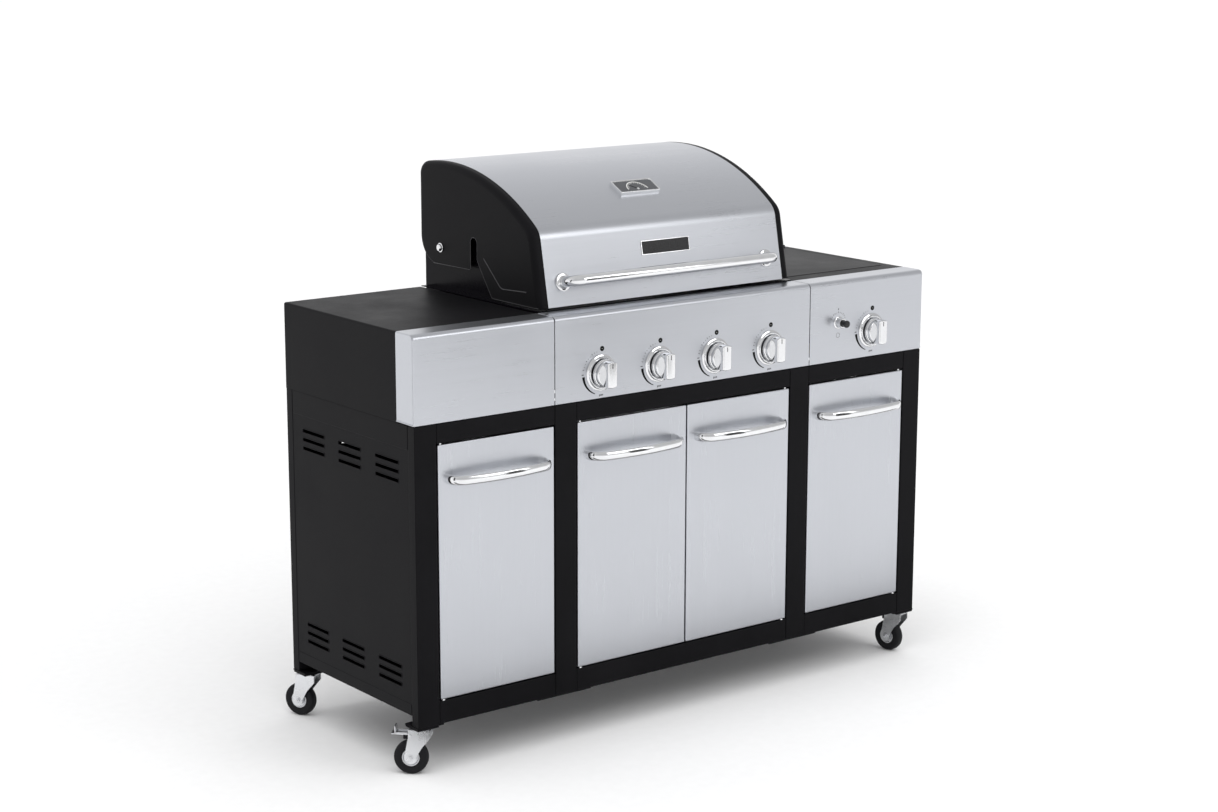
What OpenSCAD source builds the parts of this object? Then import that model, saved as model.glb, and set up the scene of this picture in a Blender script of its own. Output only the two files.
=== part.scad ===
// Freestanding gas barbecue grill: four main burners under a hinged hood,
// a side burner under a flush lid, a four door cabinet and swivel casters.
// Z = 0 is the floor, X runs left to right seen from the front, -Y is the front.

/* [Cabinet] */
// Overall width over the side shelves
overall_w = 1440; // [1380:10:1500]
// Depth of the cabinet
cabinet_d = 512; // [500:2:530]
// Height of the cabinet box, from the casters to the control panel
cabinet_h = 645; // [600:5:680]
// Height of the control panel and of the shelf boxes
panel_h = 190; // [185:1:195]
// Width of the middle section between the two panel seams
center_w = 724; // [722:1:730]
// Width of a corner post
corner_post_w = 54; // [48:1:58]
// Width of a middle post
mid_post_w = 57; // [50:1:60]
// Depth of every post and front rail
post_d = 25; // [22:1:30]
// Height of the front top rail
top_rail_h = 42; // [36:1:50]
// Height of the front bottom rail
bottom_rail_h = 50; // [40:1:60]
// Thickness of the folded sheet metal
sheet = 1.5; // [1.5:0.1:2]

/* [Doors] */
// Gap round every door
door_gap = 3; // [3:0.5:4]
// Depth of the folded door pan
door_t = 13; // [12:0.5:14]
// Distance of a hinge pin from the door's edge
pin_inset = 9; // [8:0.5:10]
// Radius of a door hinge pin
door_pin_r = 3; // [2.5:0.1:3.5]
// Half the distance between the feet of a door handle
grip_half = 126; // [118:1:127]
// Height of a door handle's bar
grip_h = 20; // [16:1:22]
// Thickness of a door handle's bar
grip_t = 10; // [8:1:10]
// Height of the door handles above the bottom of the cabinet
grip_z = 526; // [500:1:540]

/* [Hood] */
// Width of the steel hood skin between the end caps
hood_w = 664; // [660:1:666]
// Width of one black end cap
cap_w = 23; // [22:1:25]
// Radius of the hood's curved top
hood_r = 550; // [540:5:560]
// Tilt of the hood's flat front from the vertical
front_tilt = 11; // [9:0.5:12]
// Radius where the curved top meets the flat front
crease_r = 45; // [36:1:54]
// Radius of the top rear edge
rear_r = 30; // [24:1:36]
// Diameter of the hood handle's tube
hood_tube_d = 24; // [20:1:26]
// Half the distance between the hood handle's feet
hood_grip_half = 287; // [270:1:295]
// Distance from the hood's front to the handle's axis
hood_grip_off = 42; // [38:1:46]

/* [Controls] */
// Distance between two main burners
burner_pitch = 160; // [150:1:162]
// Height of the main knobs above the bottom of the cabinet
knob_z = 702; // [698:1:706]
// Centre of the side burner's knob from the middle
side_knob_x = 555; // [545:1:565]
// Radius of a knob's base
knob_r = 30; // [26:1:31]
// Distance from the panel to the front of a knob
knob_reach = 42; // [38:1:44]
// Distance that a knob pushes in before it turns
knob_push = 4; // [3:0.5:5]
// Centre of the igniter button from the middle
igniter_x = 450; // [440:1:460]

/* [Casters] */
// Height of the cabinet's underside above the floor
caster_h = 110; // [106:1:116]
// Radius of a caster wheel
wheel_r = 37; // [36:0.5:37]
// Width of a caster wheel
wheel_w = 22; // [18:1:23]
// Distance from the swivel axis to the wheel's axle
trail = 24; // [23:1:28]
// Turn of each caster at rest: front left, front right, rear left, rear right
caster_turn = [46, 9, 28, 30]; // [0:1:90]

/* [Hidden] */
$fn = 48;

black = [0.09, 0.09, 0.1];
enamel = [0.13, 0.12, 0.15];
steel = [0.76, 0.77, 0.78];
chrome = [0.9, 0.9, 0.92];
iron = [0.16, 0.16, 0.16];
rubber = [0.06, 0.06, 0.07];
brass = [0.75, 0.6, 0.3];

// Radial clearance of a pin or stem that turns in its hole
fit = 0.05;

// Heights above the underside of the cabinet
shelf_z = cabinet_h + panel_h;
door_z0 = bottom_rail_h + door_gap;
door_z1 = cabinet_h - top_rail_h - door_gap;

// Widths across the cabinet, which stands a little inside the shelf boxes
cabinet_inset = 2;
cabinet_x = overall_w / 2 - cabinet_inset;
half_w = overall_w / 2;
seam_x = center_w / 2;
mid_post_x = seam_x - mid_post_w;
corner_post_x = cabinet_x - corner_post_w;
side_rail_w = 20;

hood_rear_y = 527;

// Middle of the whole outline, measured from the cabinet's middle and front plane
outline_middle = [-13.559, 247.678];

// Control panel
panel_top_d = 62;
panel_edge_r = 11;

// Each bay: left edge, right edge, and the side that its door hangs on (-1 left, 1 right)
bays = [
    [-corner_post_x, -seam_x, -1],
    [-mid_post_x, 0, -1],
    [0, mid_post_x, 1],
    [seam_x, corner_post_x, 1]
];
function door_left(i) = bays[i][0] + (bays[i][0] == 0 ? door_gap / 2 : door_gap);
function door_right(i) = bays[i][1] - (bays[i][1] == 0 ? door_gap / 2 : door_gap);
function pin_x(i) = bays[i][2] < 0 ? door_left(i) + pin_inset : door_right(i) - pin_inset;
pin_y = 6;
pin_washer_r = 5.5;

// Hood section, as [depth, height] points: circle centre, foot of the flat front, hinge axis
hood_c = [440, 573];
hood_z0 = shelf_z + 7;
hood_foot = [64, hood_z0];
hinge = [440, 931];
hood_rear_z = 1040;
cap_round = [460, 960];
cap_round_r = hood_rear_y - cap_round[0];
hood_bolt_r = 5;
cap_x = hood_w / 2 + cap_w;
rim_t = 1.5;
front_normal = [cos(front_tilt), -sin(front_tilt)];
crease_a = acos((crease_r - (hood_c - hood_foot) * front_normal) / (hood_r - crease_r)) - front_tilt;
crease_c = hood_c + (hood_r - crease_r) * [cos(crease_a), sin(crease_a)];
rear_a = acos((hood_rear_y - rear_r - hood_c[0]) / (hood_r - rear_r));
rear_c = hood_c + (hood_r - rear_r) * [cos(rear_a), sin(rear_a)];

// Firebox
box_x = 338;
box_y0 = 80;
box_y1 = 520;
box_floor_z = 697;
box_top_z = shelf_z + 2;
box_rear_z = 985;
grate_z = 812;

// Burners and valves
burner_x = [for (i = [0:3]) (i - 1.5) * burner_pitch];
knob_x = concat(burner_x, [side_knob_x]);
side_knob_z = knob_z + 6;
burner_z = 725;
burner_r = 10;
valve_y = 22;
stem_r = 4;
igniter_z = 737;

// Side burner
lid_x0 = 386;
lid_x1 = 689;
lid_y0 = 108;
lid_y1 = 474;
lid_gap = 1.5;
lid_axis = [lid_y1 - 7, shelf_z + 3];
side_burner = [(lid_x0 + lid_x1) / 2, 285];

// Casters
caster_x = 692;
caster_y = [26, 486];
axle_z = -caster_h + wheel_r;
axle_r = 4;
fork_gap = wheel_w + 4;
cheek_t = 2.5;
brake_pivot = [24, -21];

function arc(c, r, a0, a1, n) = [for (i = [0:n]) let (a = a0 + (a1 - a0) * i / n) c + r * [cos(a), sin(a)]];
function reversed(p) = [for (i = [len(p) - 1:-1:0]) p[i]];
// The hood's line from its front foot to its rear edge, moved inwards by t
function hood_line(t) = concat(
    [[hood_foot[0] + t / cos(front_tilt), hood_foot[1]]],
    arc(crease_c, crease_r - t, 180 - front_tilt, crease_a, 5),
    arc(hood_c, hood_r - t, crease_a, rear_a, 22),
    arc(rear_c, rear_r - t, rear_a, 0, 6),
    [[hood_rear_y - t, hood_rear_z]]
);

module in_frame() translate([-outline_middle[0], -outline_middle[1], caster_h]) children();
// Draws a [depth, height] outline and extends it along X from x0 over length w
module along_x(x0, w) translate([x0, 0, 0]) rotate([90, 0, 90]) linear_extrude(w) children();
module block(x0, x1, y0, y1, z0, z1) translate([x0, y0, z0]) cube([x1 - x0, y1 - y0, z1 - z0]);
module both_sides() for (s = [0, 1]) mirror([s, 0, 0]) children();
// A cylinder along Y between y0 and y1
module rod_y(x, z, r, y0, y1) translate([x, y0, z]) rotate([-90, 0, 0]) cylinder(r = r, h = y1 - y0);
// A cylinder along X between x0 and x1
module rod_x(y, z, r, x0, x1) translate([x0, y, z]) rotate([0, 90, 0]) cylinder(r = r, h = x1 - x0);

// ---- cabinet ----

module tube(x0, x1, y0, y1, z0, z1) difference() {
    block(x0, x1, y0, y1, z0, z1);
    block(x0 + sheet, x1 - sheet, y0 + sheet, y1 - sheet, z0 + sheet, z1 + 1);
}
module cabinet_posts() color(black) in_frame() both_sides() {
    tube(corner_post_x, cabinet_x, 0, post_d, 0, cabinet_h);
    tube(mid_post_x, seam_x, 0, post_d, 0, cabinet_h);
    tube(corner_post_x, cabinet_x, cabinet_d - post_d, cabinet_d, 0, cabinet_h);
}
// A rail open towards the inside of the cabinet
module channel(x0, x1, y0, y1, z0, z1) difference() {
    block(x0, x1, y0, y1, z0, z1);
    block(x0 - 1, x1 + 1, y0 + sheet, y1 + 1, z0 + sheet, z1 - sheet);
}
module front_rails(x0, x1) {
    channel(x0, x1, 0, post_d, 0, bottom_rail_h);
    channel(x0, x1, 0, post_d, cabinet_h - top_rail_h, cabinet_h);
}
module cabinet_rails() color(black) in_frame() {
    front_rails(-mid_post_x, mid_post_x);
    both_sides() {
        front_rails(seam_x, corner_post_x);
        block(cabinet_x - side_rail_w, cabinet_x, post_d, cabinet_d - post_d, 22, bottom_rail_h - sheet);
        block(cabinet_x - side_rail_w, cabinet_x, post_d, cabinet_d - post_d, 592, cabinet_h);
    }
    for (z = [22, cabinet_h - top_rail_h])
        block(-corner_post_x, corner_post_x, cabinet_d - 14, cabinet_d - sheet, z, z + 26);
}
module louvres(y0, z0) for (g = [0:2], row = [0:2])
    block(-1, 6, y0 + 147 * g, y0 + 147 * g + 88, z0 - 19.5 * row, z0 - 19.5 * row + 8);
module side_panel() difference() {
    block(cabinet_x - 3, cabinet_x - 1.5, post_d, cabinet_d - post_d, bottom_rail_h - sheet, 592);
    translate([cabinet_x - 4, 0, 0]) louvres(63, 556);
    translate([cabinet_x - 4, 0, 0]) louvres(63, 116);
}
module side_panel_right() color(black) in_frame() side_panel();
module side_panel_left() color(black) in_frame() mirror([1, 0, 0]) side_panel();
module inner_panels() color(black) in_frame() {
    both_sides() block(seam_x - 29, seam_x - 29 + sheet, post_d, cabinet_d - 14, bottom_rail_h, cabinet_h);
    difference() {
        block(-corner_post_x, corner_post_x, cabinet_d - sheet, cabinet_d, 22, cabinet_h);
        for (x = [-580, -60, 460], row = [0:2])
            block(x, x + 120, cabinet_d - 3, cabinet_d + 1, 540 - 20 * row, 548 - 20 * row);
    }
}
module bottom_panels() color(black) in_frame() {
    block(-seam_x + 29, seam_x - 29, post_d, cabinet_d - 14, bottom_rail_h - sheet, bottom_rail_h);
    both_sides() {
        block(seam_x - 29 + sheet, corner_post_x, post_d, cabinet_d - 14, bottom_rail_h - sheet, bottom_rail_h);
        block(corner_post_x, cabinet_x - 3, post_d, cabinet_d - post_d, bottom_rail_h - sheet, bottom_rail_h);
    }
}
module underside_plates() color(chrome) in_frame() both_sides() {
    block(261, 405, 8, 60, -5, 0);
    for (y = caster_y) translate([caster_x, y, 0]) {
        block(-38, 27, -25, 25, -3, 0);
        block(-26, 26, -24, 24, -7, -3);
        translate([0, 0, -19]) cylinder(r = 5, h = 12);
        translate([0, 0, -19]) cylinder(r = 8, h = 4);
    }
}

// ---- shelf boxes and control panel ----

module shelf_box() {
    block(seam_x, half_w, panel_top_d, cabinet_d, shelf_z - sheet, shelf_z);
    block(half_w - sheet, half_w, panel_top_d, cabinet_d, cabinet_h, shelf_z - sheet);
    block(seam_x, seam_x + sheet, panel_top_d, cabinet_d, cabinet_h, shelf_z - sheet);
    block(seam_x + sheet, half_w - sheet, cabinet_d - sheet, cabinet_d, cabinet_h, shelf_z - sheet);
}
module shelf_left() color(black) in_frame() mirror([1, 0, 0]) shelf_box();
module shelf_right() color(black) in_frame() {
    difference() {
        shelf_box();
        block(lid_x0, lid_x1, lid_y0, lid_y1, shelf_z - 5, shelf_z + 5);
    }
    for (s = [[lid_x0 - 6, lid_x0, 11], [lid_x1, lid_x1 + 6, -17]]) {
        block(s[0], s[1], lid_axis[0] - 6, lid_axis[0] + 6, shelf_z, lid_axis[1] + 5);
        rod_x(lid_axis[0], lid_axis[1], 2, s[0] + 3 + min(0, s[2]), s[0] + 3 + max(0, s[2]));
    }
}
// Panel section: front sheet, rounded edge and top strip, with its inside cut away
function panel_line(t) = concat(
    [[t, cabinet_h]],
    arc([panel_edge_r, shelf_z - panel_edge_r], panel_edge_r - t, 180, 90, 6),
    [[panel_top_d, shelf_z - t]]
);
module panel(x0, x1) along_x(x0, x1 - x0)
    polygon(concat(panel_line(0), reversed(panel_line(sheet))));
module panel_end(x0) along_x(x0, sheet)
    polygon(concat(panel_line(0), [[panel_top_d, cabinet_h]]));
module fascia_left() color(steel) in_frame() {
    panel(-half_w + sheet, -seam_x - 0.4);
    panel_end(-half_w);
}
module fascia_center() color(steel) in_frame() difference() {
    panel(-seam_x, seam_x);
    for (x = burner_x) rod_y(x, knob_z, 12, -5, 10);
}
module fascia_right() color(steel) in_frame() difference() {
    union() {
        panel(seam_x + 0.4, half_w - sheet);
        panel_end(half_w - sheet);
    }
    rod_y(side_knob_x, side_knob_z, 12, -5, 10);
    rod_y(igniter_x, igniter_z, 9, -5, 10);
}

// ---- firebox and what it holds ----

module box_side() along_x(box_x - sheet, sheet) difference() {
    polygon([
        [box_y0, box_floor_z], [box_y0, box_top_z], [225, box_top_z], [320, box_rear_z],
        [hood_rear_y, box_rear_z], [hood_rear_y, box_floor_z]
    ]);
    translate(hinge) circle(r = hood_bolt_r + fit);
}
module firebox() color(enamel) in_frame() {
    in_x = box_x - sheet;
    difference() {
        block(-in_x, in_x, box_y0, box_y0 + sheet, box_floor_z, box_top_z);
        for (x = burner_x) rod_y(x, burner_z, burner_r + 1, 70, 90);
    }
    block(-in_x, in_x, box_y1, box_y1 + sheet, box_floor_z, box_rear_z);
    difference() {
        block(-in_x, in_x, box_y0 + sheet, box_y1, box_floor_z, box_floor_z + sheet);
        block(-60, 60, 270, 330, box_floor_z - 1, box_floor_z + 3);
    }
    block(-in_x, in_x, panel_top_d + 0.5, box_y0, box_top_z - sheet, box_top_z);
    for (y = [box_y0 + sheet, box_y1 - 8]) block(-in_x, in_x, y, y + 8, grate_z - 4, grate_z);
    both_sides() {
        box_side();
        block(box_x, seam_x, panel_top_d + 4, cabinet_d - 2, shelf_z, box_top_z);
        block(203, 205, 100, 500, 668, box_floor_z);
        block(196, 203, 100, 500, 668, 670);
    }
}
module grease_tray() color(steel) in_frame() {
    difference() {
        block(-200, 200, 110, 500, 670.5, 690);
        block(-198.5, 198.5, 111.5, 498.5, 672, 691);
        translate([0, 300, 668]) cylinder(r = 16, h = 6);
    }
    difference() {
        translate([0, 300, 648]) cylinder(r = 34, h = 22.5);
        translate([0, 300, 650]) cylinder(r = 32, h = 22);
    }
    difference() {
        block(-60, 60, 500, 524, 676, 678);
        block(-40, 40, 506, 516, 670, 680);
    }
}
module main_burners() color(steel) in_frame() for (x = burner_x) {
    rod_y(x, burner_z, burner_r, 62, 470);
    block(x - 3, x + 3, 455, 461, box_floor_z + sheet, burner_z - 5);
}
module heat_tents() color(steel) in_frame() for (x = burner_x)
    translate([x, 500, 762]) rotate([90, 0, 0]) linear_extrude(400) polygon([
        [-52, -4], [-52, 0], [0, 24], [52, 0], [52, -4], [49, -4], [49, -1.5], [0, 21], [-49, -1.5], [-49, -4]
    ]);
module cooking_grates() color(iron) in_frame() both_sides() {
    for (y = [88, 296, 504]) block(2, 334, y, y + 8, grate_z, grate_z + 8);
    for (i = [0:13]) block(2 + i * 25, 9 + i * 25, 88, 512, grate_z + 2, grate_z + 14);
}
module warming_rack() color(chrome) in_frame() {
    for (y = [336, 470]) block(-336.5, 336.5, y, y + 6, 950, 956);
    for (i = [0:20]) block(-332 + i * 33, -328 + i * 33, 342, 470, 951, 955);
}
module valve(x, z) {
    difference() {
        block(x - 12, x + 12, valve_y, 54, z - 14, z + 14);
        rod_y(x, z, stem_r + fit, valve_y - 1, valve_y + 12 + knob_push);
    }
}
module gas_manifold() color(brass) in_frame() {
    rod_x(38, knob_z - 26, 12, -280, side_knob_x + 60);
    for (x = burner_x) {
        valve(x, knob_z);
        rod_y(x, burner_z - 10, 3, 54, 61);
    }
    valve(side_knob_x, side_knob_z);
    rod_x(38, knob_z - 26, 8, side_knob_x + 60, side_knob_x + 90);
}

// ---- side burner ----

module side_burner_pan() color(enamel) in_frame() difference() {
    block(lid_x0 - 6, lid_x1 + 6, lid_y0 - 6, lid_y1 + 6, 768, shelf_z - sheet);
    block(lid_x0 - 4.5, lid_x1 + 4.5, lid_y0 - 4.5, lid_y1 + 4.5, 769.5, shelf_z);
}
module side_burner_head() color(brass) in_frame() translate([side_burner[0], side_burner[1], 769.5]) {
    cylinder(r = 20, h = 14);
    translate([0, 0, 14]) cylinder(r = 40, h = 8);
    translate([0, 0, 22]) cylinder(r = 30, h = 4);
}
module side_burner_grate() color(iron) in_frame() translate([side_burner[0], side_burner[1], 0]) {
    difference() {
        translate([0, 0, 800]) cylinder(r = 110, h = 6);
        translate([0, 0, 799]) cylinder(r = 102, h = 8);
    }
    for (a = [0:90:270]) rotate([0, 0, a + 45]) {
        block(48, 106, -3, 3, 800, 812);
        block(104, 109, -3, 3, 769.5, 802);
    }
}
module side_burner_lid() color(black) in_frame() {
    x0 = lid_x0 + lid_gap;
    x1 = lid_x1 - lid_gap;
    y0 = lid_y0 + lid_gap;
    difference() {
        union() {
            difference() {
                block(x0, x1, y0, lid_axis[0], shelf_z - 9, shelf_z + 1);
                block(x0 + sheet, x1 - sheet, y0 + sheet, lid_axis[0] + 1, shelf_z - 10, shelf_z + 1 - sheet);
            }
            rod_x(lid_axis[0], lid_axis[1], 4.5, x0, x1);
        }
        rod_x(lid_axis[0], lid_axis[1], 2 + fit, x0 - 1, x1 + 1);
    }
}

// ---- controls ----

module bezel(x, z) difference() {
    union() {
        rod_y(x, z, knob_r + 9, -3, 0);
        rod_y(x, z, knob_r + 5, -7, -3);
    }
    rod_y(x, z, knob_r + 1.5, -8, 1);
}
module control_bezels() color(chrome) in_frame() {
    for (x = burner_x) bezel(x, knob_z);
    bezel(side_knob_x, side_knob_z);
    difference() {
        union() {
            rod_y(igniter_x, igniter_z, 15, -3, 0);
            rod_y(igniter_x, igniter_z, 11.5, -17, -3);
        }
        rod_y(igniter_x, igniter_z, 7.5 + fit, -18, 1);
    }
}
function knob_height(i) = i < 4 ? knob_z : side_knob_z;
module valve_stem(i) color(steel) in_frame() rod_y(knob_x[i], knob_height(i), stem_r, -30, valve_y + 8);
module valve_stem_1() valve_stem(0);
module valve_stem_2() valve_stem(1);
module valve_stem_3() valve_stem(2);
module valve_stem_4() valve_stem(3);
module valve_stem_5() valve_stem(4);
module knob(i) color(chrome) in_frame() translate([knob_x[i], 0, knob_height(i)]) difference() {
    union() {
        rod_y(0, 0, knob_r, -16, -9);
        rod_y(0, 0, knob_r - 3, -24, -16);
        block(-13, 13, -knob_reach, -24, 1 - knob_r, knob_r - 1);
    }
    rod_y(0, 0, stem_r + fit, -30.5, 0);
}
module knob_1() knob(0);
module knob_2() knob(1);
module knob_3() knob(2);
module knob_4() knob(3);
module knob_5() knob(4);
module igniter_button() color(rubber) in_frame() {
    rod_y(igniter_x, igniter_z, 7.5, -30, 20);
    rod_y(igniter_x, igniter_z, 8.5, -32, -28);
}

// ---- hood ----

module hood_skin() color(steel) in_frame() difference() {
    along_x(-hood_w / 2, hood_w) polygon(concat(hood_line(0), reversed(hood_line(sheet))));
    thermo_place() translate([0, 0, -20]) cylinder(r = 6, h = 30);
}
// The end cap's whole side: hood line, rounded rear corner, spit notch and sloping front cut
function cap_line() = concat(
    hood_line(0),
    arc(cap_round, cap_round_r, 0, -90, 8),
    [[323, 895]],
    arc([310, 955], 13, 0, 180, 8),
    [[297, 918], [241, hood_z0]]
);
module hood_cap() {
    along_x(cap_x - rim_t, rim_t) difference() {
        polygon(cap_line());
        translate(hinge) circle(r = hood_bolt_r + fit);
    }
    along_x(hood_w / 2, cap_w - rim_t)
        polygon(concat(hood_line(0), reversed(hood_line(rim_t))));
}
module hood_cap_right() color(black) in_frame() hood_cap();
module hood_cap_left() color(black) in_frame() mirror([1, 0, 0]) hood_cap();
module hood_handle() color(chrome) in_frame() {
    bend = 28;
    straight = hood_grip_off - bend;
    foot_z = 51;
    translate([0, hood_foot[0] + foot_z * tan(front_tilt), hood_z0 + foot_z])
        rotate([-front_tilt, 0, 0]) rotate([90, 0, 0]) {
            rod_x(0, hood_grip_off, hood_tube_d / 2, -hood_grip_half + bend, hood_grip_half - bend);
            both_sides() {
                translate([hood_grip_half, 0, 0]) cylinder(r = hood_tube_d / 2, h = straight);
                translate([hood_grip_half, 0, 0]) cylinder(r = 20, h = 4);
                translate([hood_grip_half - bend, 0, straight]) rotate([90, 0, 0])
                    rotate_extrude(angle = 90) translate([bend, 0]) circle(r = hood_tube_d / 2);
            }
        }
}
module hood_bolts() color(chrome) in_frame() both_sides() {
    rod_x(hinge[0], hinge[1], hood_bolt_r, box_x - 4, cap_x + 1);
    rod_x(hinge[0], hinge[1], 9, box_x - 8, box_x - sheet);
    rod_x(hinge[0], hinge[1], 9, box_x, cap_x - rim_t - 0.4);
    rod_x(hinge[0], hinge[1], 8, cap_x + 0.4, cap_x + 6);
}
// Local frame on the hood's curved top: Z along the surface's normal
thermo_a = 117;
module thermo_place() translate([0, hood_c[0] + hood_r * cos(thermo_a), hood_c[1] + hood_r * sin(thermo_a)])
    rotate([thermo_a - 90, 0, 0]) children();
module thermometer() color(chrome) in_frame() thermo_place() {
    difference() {
        translate([-56, -24, 0.1]) cube([112, 48, 8]);
        translate([-51, -19, 5]) cube([102, 38, 4]);
    }
    translate([0, 0, -54]) cylinder(r = 3, h = 55);
}

// ---- doors ----

module door(i) color(steel) in_frame() {
    x0 = door_left(i);
    x1 = door_right(i);
    difference() {
        block(x0, x1, 0, door_t, door_z0, door_z1);
        block(x0 + sheet, x1 - sheet, sheet, door_t + 1, door_z0 + 2, door_z1 - 2);
        translate([pin_x(i), pin_y, door_z0 - 1]) cylinder(r = door_pin_r + fit, h = door_z1 - door_z0 + 2);
    }
}
module door_1() door(0);
module door_2() door(1);
module door_3() door(2);
module door_4() door(3);
// One side of the bow in plan, moved outwards by t: straight feet, tight ends, a long shallow arc
grip_foot = 0.5;
grip_end_r = 34;
grip_a = 10;
grip_bow_r = grip_end_r + (grip_half - grip_end_r) / sin(grip_a);
function grip_side(t) = concat(
    [[grip_half + t, 0]],
    arc([grip_half - grip_end_r, -grip_foot], grip_end_r + t, 0, grip_a - 90, 8),
    arc([0, (grip_bow_r - grip_end_r) * cos(grip_a) - grip_foot], grip_bow_r + t, grip_a - 91, -89 - grip_a, 24),
    arc([grip_end_r - grip_half, -grip_foot], grip_end_r + t, -90 - grip_a, -180, 8),
    [[-grip_half - t, 0]]
);
module door_handle(i) color(chrome) in_frame()
    translate([(door_left(i) + door_right(i)) / 2, 0, grip_z - grip_h / 2])
        linear_extrude(grip_h) polygon(concat(grip_side(grip_t / 2), reversed(grip_side(-grip_t / 2))));
module door_handle_1() door_handle(0);
module door_handle_2() door_handle(1);
module door_handle_3() door_handle(2);
module door_handle_4() door_handle(3);
module door_pins() color(chrome) in_frame() for (i = [0:3]) translate([pin_x(i), pin_y, 0]) {
    translate([0, 0, bottom_rail_h]) cylinder(r = door_pin_r, h = door_gap + 6);
    translate([0, 0, bottom_rail_h]) cylinder(r = pin_washer_r, h = door_gap - 0.3);
    translate([0, 0, door_z1 - 6]) cylinder(r = door_pin_r, h = door_gap + 6);
}

// ---- casters: 1 front left, 2 front right, 3 rear left, 4 rear right ----

// Local frame of a caster: X along the trail, origin on the swivel axis at the underside
module caster_place(i) in_frame()
    translate([(i % 2 == 0 ? -1 : 1) * caster_x, caster_y[i < 2 ? 0 : 1], 0])
        rotate([0, 0, 90 + caster_turn[i]]) children();
module cheek() rotate([90, 0, 0]) linear_extrude(cheek_t) {
    polygon([[-20, -12.5], [28, -12.5], [28, -26], [trail + 13, axle_z], [trail - 13, axle_z], [-20, -24]]);
    translate([trail, axle_z]) circle(r = 13);
}
module caster_fork(i) color(chrome) caster_place(i) {
    difference() {
        union() {
            translate([-20, -fork_gap / 2 - cheek_t, -12.5]) cube([48, fork_gap + 2 * cheek_t, 3]);
            translate([0, 0, -9.5]) cylinder(r = 20, h = 2.2);
        }
        translate([0, 0, -14]) cylinder(r = 5 + fit, h = 8);
    }
    for (y = [fork_gap / 2 + cheek_t, -fork_gap / 2]) translate([0, y, 0]) cheek();
    rod_y(trail, axle_z, axle_r, -fork_gap / 2 - cheek_t - 2, fork_gap / 2 + cheek_t + 2);
    if (i < 2) rod_y(brake_pivot[0], brake_pivot[1], 2, -fork_gap / 2, fork_gap / 2);
}
module caster_fork_1() caster_fork(0);
module caster_fork_2() caster_fork(1);
module caster_fork_3() caster_fork(2);
module caster_fork_4() caster_fork(3);
module caster_wheel(i) color(rubber) caster_place(i) translate([trail, 0, axle_z]) rotate([90, 0, 0])
    rotate_extrude($fn = 64) polygon(concat(
        [[axle_r + fit, -wheel_w / 2 - 1], [9, -wheel_w / 2 - 1], [17, -wheel_w / 2 + 2]],
        arc([wheel_r - 6, -wheel_w / 2 + 6], 6, -90, 0, 3),
        arc([wheel_r - 6, wheel_w / 2 - 6], 6, 0, 90, 3),
        [[17, wheel_w / 2 - 2], [9, wheel_w / 2 + 1], [axle_r + fit, wheel_w / 2 + 1]]
    ));
module caster_wheel_1() caster_wheel(0);
module caster_wheel_2() caster_wheel(1);
module caster_wheel_3() caster_wheel(2);
module caster_wheel_4() caster_wheel(3);
module brake_lever(i) color(chrome) caster_place(i) difference() {
    union() {
        translate([17, -11, brake_pivot[1] - 1.5]) cube([49, 22, 3]);
        translate([brake_pivot[0], -11, brake_pivot[1]]) rotate([-90, 0, 0]) cylinder(r = 5, h = 22);
        translate([30, -8, brake_pivot[1] - 12]) cube([10, 16, 11]);
        translate([55, -11, brake_pivot[1] - 1.5]) cube([3, 22, 18.5]);
    }
    rod_y(brake_pivot[0], brake_pivot[1], 2 + fit, -12, 12);
}
module brake_lever_1() brake_lever(0);
module brake_lever_2() brake_lever(1);

cabinet_posts();
cabinet_rails();
side_panel_left();
side_panel_right();
inner_panels();
bottom_panels();
underside_plates();
shelf_left();
shelf_right();
fascia_left();
fascia_center();
fascia_right();
firebox();
grease_tray();
main_burners();
heat_tents();
cooking_grates();
warming_rack();
gas_manifold();
side_burner_pan();
side_burner_head();
side_burner_grate();
side_burner_lid();
control_bezels();
valve_stem_1();
valve_stem_2();
valve_stem_3();
valve_stem_4();
valve_stem_5();
knob_1();
knob_2();
knob_3();
knob_4();
knob_5();
igniter_button();
hood_skin();
hood_cap_left();
hood_cap_right();
hood_handle();
hood_bolts();
thermometer();
door_1();
door_2();
door_3();
door_4();
door_handle_1();
door_handle_2();
door_handle_3();
door_handle_4();
door_pins();
caster_fork_1();
caster_fork_2();
caster_fork_3();
caster_fork_4();
caster_wheel_1();
caster_wheel_2();
caster_wheel_3();
caster_wheel_4();
brake_lever_1();
brake_lever_2();
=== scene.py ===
import math

import bmesh
import bpy
from mathutils import Matrix, Vector


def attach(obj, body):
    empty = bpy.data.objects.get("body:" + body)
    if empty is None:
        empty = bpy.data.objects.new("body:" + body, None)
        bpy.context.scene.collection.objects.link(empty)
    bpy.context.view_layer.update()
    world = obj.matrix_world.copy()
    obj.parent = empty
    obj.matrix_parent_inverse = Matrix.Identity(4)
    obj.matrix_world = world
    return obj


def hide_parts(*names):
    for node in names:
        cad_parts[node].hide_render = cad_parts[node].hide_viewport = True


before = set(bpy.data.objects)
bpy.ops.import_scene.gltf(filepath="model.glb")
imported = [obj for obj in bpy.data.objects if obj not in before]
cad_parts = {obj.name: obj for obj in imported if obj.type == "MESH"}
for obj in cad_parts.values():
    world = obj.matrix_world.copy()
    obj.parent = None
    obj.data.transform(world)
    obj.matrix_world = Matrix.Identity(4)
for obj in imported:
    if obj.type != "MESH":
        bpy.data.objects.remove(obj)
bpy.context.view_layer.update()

# Lengths are in millimetres from the cabinet's front plane, middle and underside, as the parts are designed.
SHIFT = Vector((13.559, -247.678, 110.0))
MM = 0.001
SHEET = 1.5
# Edges that turn by more than this many radians get a bevel
BEVEL_FROM = 0.6
scene = bpy.context.scene


def at(v):
    return (Vector(v) + SHIFT) * MM


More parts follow.
